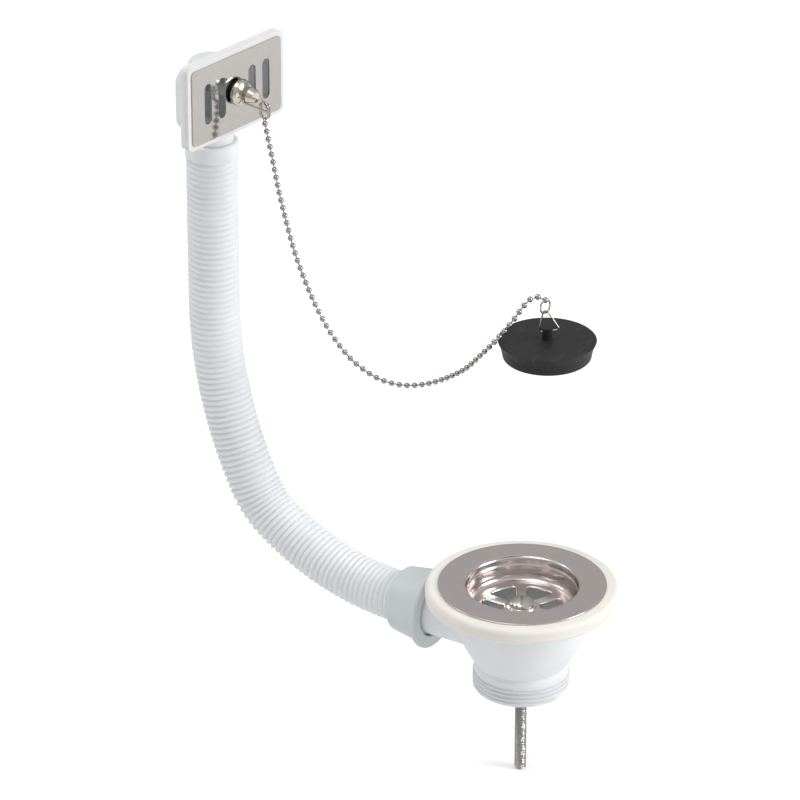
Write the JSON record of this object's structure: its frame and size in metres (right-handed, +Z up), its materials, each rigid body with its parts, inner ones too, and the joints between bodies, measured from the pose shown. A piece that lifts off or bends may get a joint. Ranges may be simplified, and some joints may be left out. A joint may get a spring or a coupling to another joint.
{
  "type": "sink waste with overflow",
  "caption": "Steel strainer on a plastic waste body, with a corrugated hose up to a slotted overflow plate, and a rubber plug on a ball chain.",
  "frame": {"origin": "on the waste's axis, at the sink's face under the steel flange", "axes": "+Z up along the waste's axis, the overflow plate stands on the +Y side and faces -Y"},
  "size_m": [0.1156, 0.2456, 0.3587],
  "materials": {
    "stainless": "satin stainless sheet, polished in the cup",
    "bolt_steel": "zinc-plated steel",
    "ivory_seal": "matt ivory rubber",
    "white_plastic": "semi-matt white polypropylene",
    "brass_insert": "plain brass",
    "nut_plastic": "semi-matt white polypropylene",
    "black_washer": "matt black rubber",
    "hose_plastic": "semi-matt white polyethylene",
    "white_gasket": "matt white foam rubber",
    "plate_steel": "bright stainless sheet",
    "dark_washer": "matt dark rubber",
    "nickel": "bright nickel",
    "wire": "bright nickel-plated wire",
    "chain_steel": "bright plated steel",
    "plug_rubber": "matt black rubber"
  },
  "bodies": {
    "root": {"strainer_flange": "stainless", "centre_bolt": "bolt_steel", "sink_seal": "ivory_seal", "waste_body": "white_plastic", "bridge_insert": "brass_insert", "inlet_nut": "nut_plastic", "inlet_washer": "black_washer", "overflow_hose": "hose_plastic", "overflow_housing": "white_plastic", "overflow_gasket": "white_gasket", "overflow_plate": "plate_steel", "stay_insert": "brass_insert", "stay_washer": "dark_washer", "stay_cap": "nickel", "stay_screw": "nickel", "stay_clip": "wire", "chain_ring": "wire", "ball_chain": "chain_steel", "plug_link": "wire", "plug_triangle": "wire", "sink_plug": "plug_rubber"}
  },
  "joints": []
}
